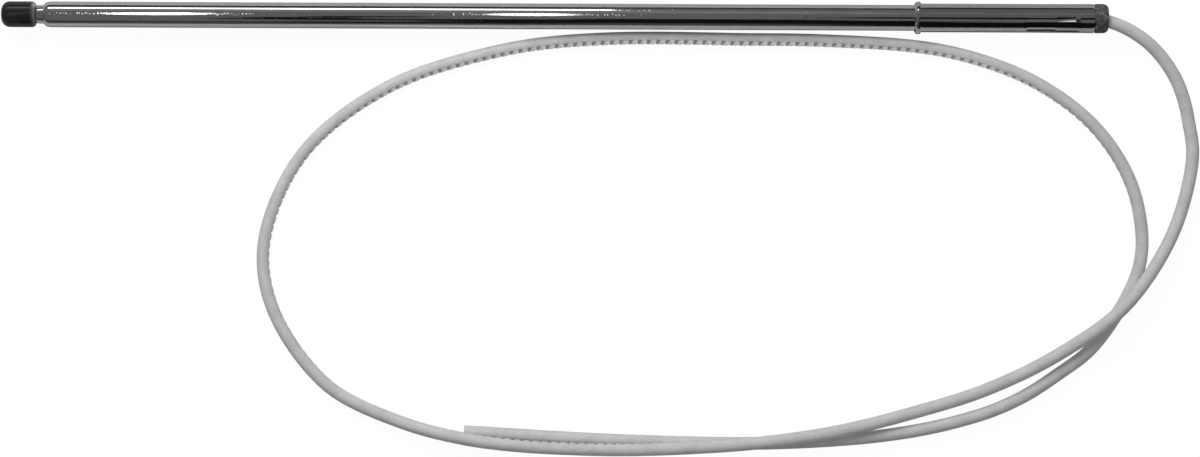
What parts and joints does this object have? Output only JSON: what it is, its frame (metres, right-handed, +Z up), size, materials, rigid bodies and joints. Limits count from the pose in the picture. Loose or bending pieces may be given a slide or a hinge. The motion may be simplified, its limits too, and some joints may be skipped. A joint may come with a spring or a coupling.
{
  "type": "car mast aerial",
  "caption": "Closed telescopic car mast aerial with a flanged contact sleeve, a stop collar, a black tip cap and a long toothed drive cord lying in loops.",
  "frame": {"origin": "on the floor under the middle of the closed mast's length and width, the cord left out", "axes": "+X along the mast from the tip to the collar where the cord comes out, +Z up from the floor the mast lies on, +Y away from the cord's loops"},
  "size_m": [0.3353, 0.1278, 0.0091],
  "materials": {
    "tube_chrome": "polished chrome plate on drawn tube",
    "sleeve_chrome": "chrome plate on brass, slightly duller than the tube",
    "collar_dark": "dark moulded collar with a rough speckled skin",
    "cord_nylon": "translucent off-white nylon, satin",
    "ring_brass": "turned brass",
    "spring_bronze": "rolled spring bronze",
    "rod_steel": "polished chrome plate on a solid rod",
    "rivet_steel": "plain steel rivet",
    "cap_black": "black moulded plastic, low gloss"
  },
  "bodies": {
    "outer": {"outer_tube": "tube_chrome", "stop_collar": "collar_dark", "drive_cord": "cord_nylon"},
    "sleeve": {"contact_sleeve": "sleeve_chrome"},
    "section_2": {"section_2_tube": "tube_chrome", "section_2_stop_ring": "ring_brass", "section_2_contact_spring": "spring_bronze", "section_2_base_bush": "ring_brass"},
    "section_3": {"section_3_tube": "tube_chrome", "section_3_stop_ring": "ring_brass", "section_3_contact_spring": "spring_bronze", "section_3_base_bush": "ring_brass"},
    "tip": {"tip_rod": "rod_steel", "tip_rod_stop_ring": "ring_brass", "tip_rod_contact_spring": "spring_bronze", "cord_anchor": "ring_brass", "anchor_rivet": "rivet_steel", "tip_ferrule": "ring_brass", "tip_cap": "cap_black"}
  },
  "joints": [
    {"name": "section_2_slide", "type": "slide", "parent": "outer", "child": "section_2", "axis": [-1, 0, 0], "range_m": [0, 0.266]},
    {"name": "section_3_slide", "type": "slide", "parent": "section_2", "child": "section_3", "axis": [-1, 0, 0], "range_m": [0, 0.264]},
    {"name": "tip_slide", "type": "slide", "parent": "section_3", "child": "tip", "axis": [-1, 0, 0], "range_m": [0, 0.265]},
    {"name": "sleeve_slide", "type": "slide", "parent": "outer", "child": "sleeve", "axis": [-1, 0, 0], "range_m": [0, 0.24]}
  ]
}
